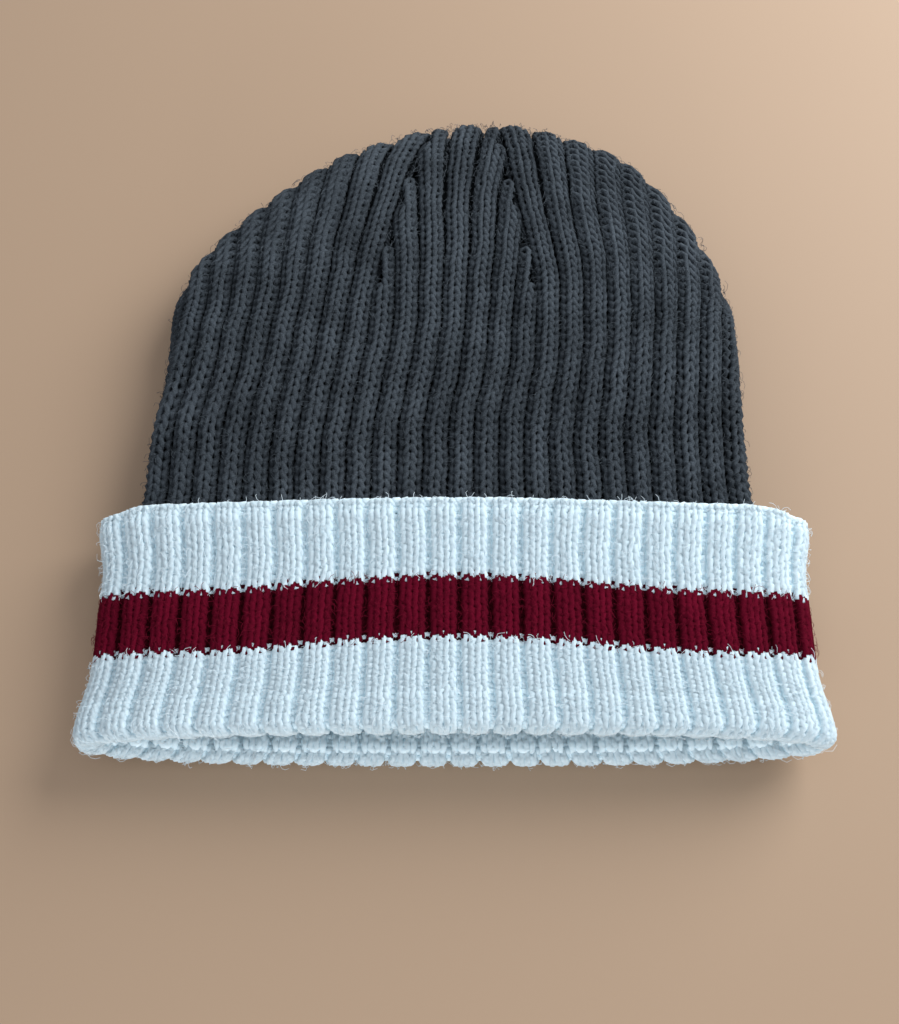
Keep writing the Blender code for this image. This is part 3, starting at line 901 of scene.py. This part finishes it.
def plies(tree):
    """The yarn's plies, which wind round it."""
    yarn = tree.nodes.new("ShaderNodeUVMap")
    yarn.uv_map = "yarn"
    stretch = tree.nodes.new("ShaderNodeMapping")
    stretch.inputs["Scale"].default_value = PLY_STRETCH
    tree.links.new(yarn.outputs["UV"], stretch.inputs["Vector"])
    ply = tree.nodes.new("ShaderNodeTexWave")
    ply.wave_type = "BANDS"
    ply.bands_direction = "DIAGONAL"
    ply.inputs["Scale"].default_value = PLY_SCALE
    ply.inputs["Distortion"].default_value = PLY_DISTORTION
    tree.links.new(stretch.outputs["Vector"], ply.inputs["Vector"])
    return ply.outputs["Fac"]


def uneven_colour(tree, shade, colour, unevenness):
    """The dye's colour, darker and lighter by its unevenness."""
    ramp = tree.nodes.new("ShaderNodeValToRGB")
    for element, position, way in zip(ramp.color_ramp.elements, SHADE_SPAN, (-1, 1)):
        element.position = position
        element.color = (*(channel * (1 + way * unevenness) for channel in colour[:3]), 1)
    tree.links.new(shade, ramp.inputs["Fac"])
    return ramp.outputs["Color"]


def with_painted_channel_shade_and_light(tree, colour, painted_channel_shade_and_light):
    """The colour with painted shade where the scale is below 1, and painted light where it is above 1, on
    yarn that lies deep in a channel between ribs.
    """
    height = tree.nodes.new("ShaderNodeAttribute")
    height.attribute_name = "height"
    depth = tree.nodes.new("ShaderNodeMapRange")
    depth.inputs["From Min"].default_value = DEEP_LIFT
    depth.inputs["From Max"].default_value = FACE_LIFT
    depth.inputs["To Min"].default_value = painted_channel_shade_and_light
    tree.links.new(height.outputs["Fac"], depth.inputs["Value"])
    scale = tree.nodes.new("ShaderNodeVectorMath")
    scale.operation = "SCALE"
    tree.links.new(colour, scale.inputs[0])
    tree.links.new(depth.outputs["Result"], scale.inputs["Scale"])
    return scale.outputs["Vector"]


# ---------------------------------------------------------------- studio


def add_floor():
    mesh = bpy.data.meshes.new("floor")
    corners = [(FLOOR_REACH * x, FLOOR_REACH * y, 0) for x, y in ((-1, -1), (1, -1), (1, 1), (-1, 1))]
    mesh.from_pydata(corners, [], [(0, 1, 2, 3)])
    material = bpy.data.materials.new("floor")
    material.use_nodes = True
    shader = material.node_tree.nodes["Principled BSDF"]
    shader.inputs["Base Color"].default_value = FLOOR
    shader.inputs["Roughness"].default_value = FLOOR_ROUGHNESS
    mesh.materials.append(material)
    floor = bpy.data.objects.new("floor", mesh)
    bpy.context.scene.collection.objects.link(floor)


def add_light(name, place, target, size, energy, colour):
    light = bpy.data.lights.new(name, "AREA")
    light.shape = "DISK"
    light.size = size
    light.energy = energy
    light.color = colour
    obj = bpy.data.objects.new(name, light)
    obj.location = place
    obj.rotation_euler = (Vector(target) - Vector(place)).to_track_quat("-Z", "Y").to_euler()
    bpy.context.scene.collection.objects.link(obj)


def add_lights():
    world = bpy.data.worlds.new("studio")
    bpy.context.scene.world = world
    world.use_nodes = True
    sky = world.node_tree.nodes["Background"]
    sky.inputs["Color"].default_value = SKY
    sky.inputs["Strength"].default_value = SKY_STRENGTH
    add_light("key", **KEY)
    add_light("fill", **FILL)
    bpy.context.scene.view_settings.view_transform = "Standard"


def main():
    add_camera()
    looks = {
        "white": yarn_material("white_yarn_knit", WHITE),
        "red": yarn_material("red_yarn_knit", RED),
        "grey": yarn_material("grey_yarn_knit", GREY),
        "white_fibre": yarn_material("white_fibres", WHITE_FIBRE),
        "red_fibre": yarn_material("red_fibres", RED_FIBRE),
        "grey_fibre": yarn_material("grey_fibres", GREY_FIBRE),
    }
    add_cuff(looks)
    add_body(looks)
    add_floor()
    add_lights()


main()
